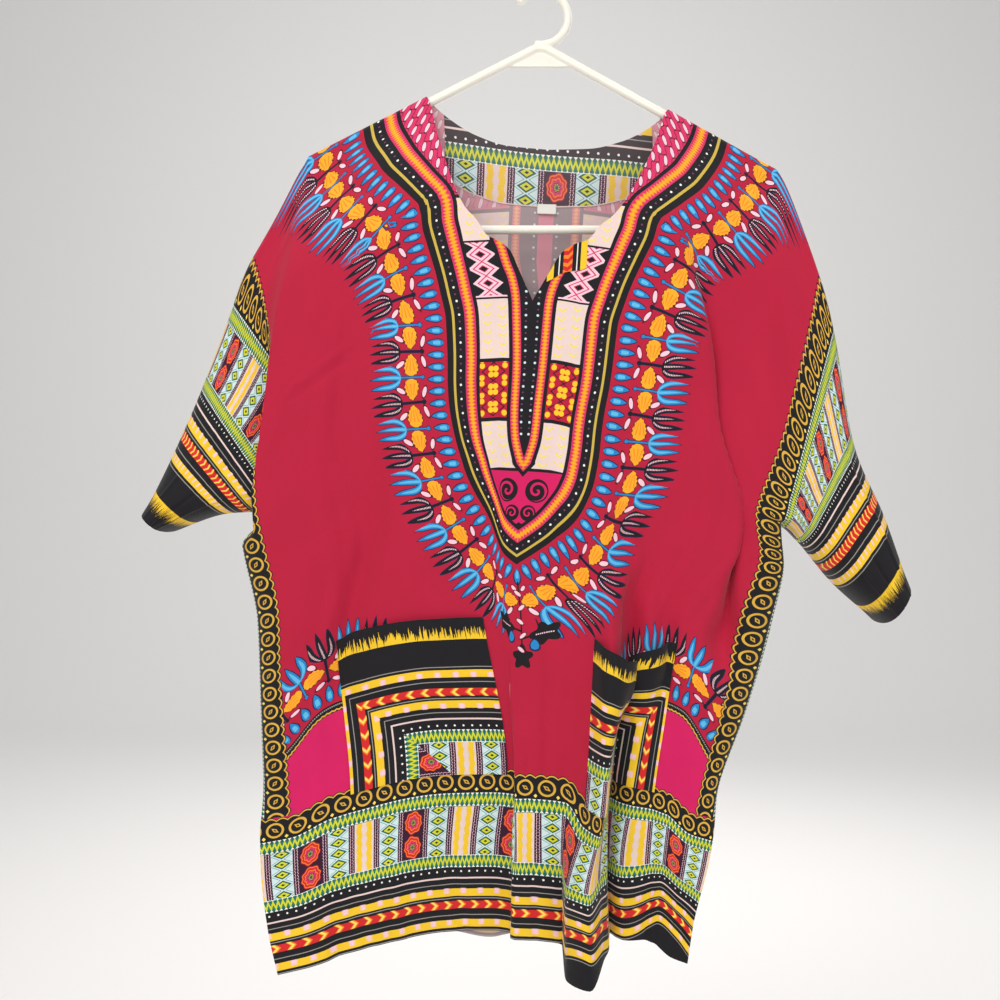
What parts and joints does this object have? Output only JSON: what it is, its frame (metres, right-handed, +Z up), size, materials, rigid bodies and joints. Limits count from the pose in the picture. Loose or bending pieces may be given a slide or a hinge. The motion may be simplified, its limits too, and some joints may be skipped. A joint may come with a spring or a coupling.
{
  "type": "dashiki shirt on a hanger",
  "caption": "Dashiki shirt in printed red cotton with a bordered V neck, wide sleeves and patch pockets, hanging on an ivory plastic hanger.",
  "frame": {"origin": "the point inside the top of the hanger's hook that rests on the rail, named by the mount hook", "axes": "+Z up, -Y the front of the shirt, +X to the right as seen from the front"},
  "size_m": [0.6963, 0.1128, 0.9073],
  "materials": {
    "printed_cotton": "matt plain-weave cotton with a wax-style border and yoke print",
    "printed_border": "the same cotton, cut from the black border part of the print",
    "label_tape": "blank white woven tape",
    "ivory_plastic": "glossy moulded plastic"
  },
  "bodies": {
    "root": {"front": "printed_cotton", "back": "printed_cotton", "pocket_left": "printed_border", "pocket_right": "printed_border", "slit_facing": "printed_border", "neck_facing": "printed_border", "label": "label_tape", "hanger": "ivory_plastic"}
  },
  "joints": []
}
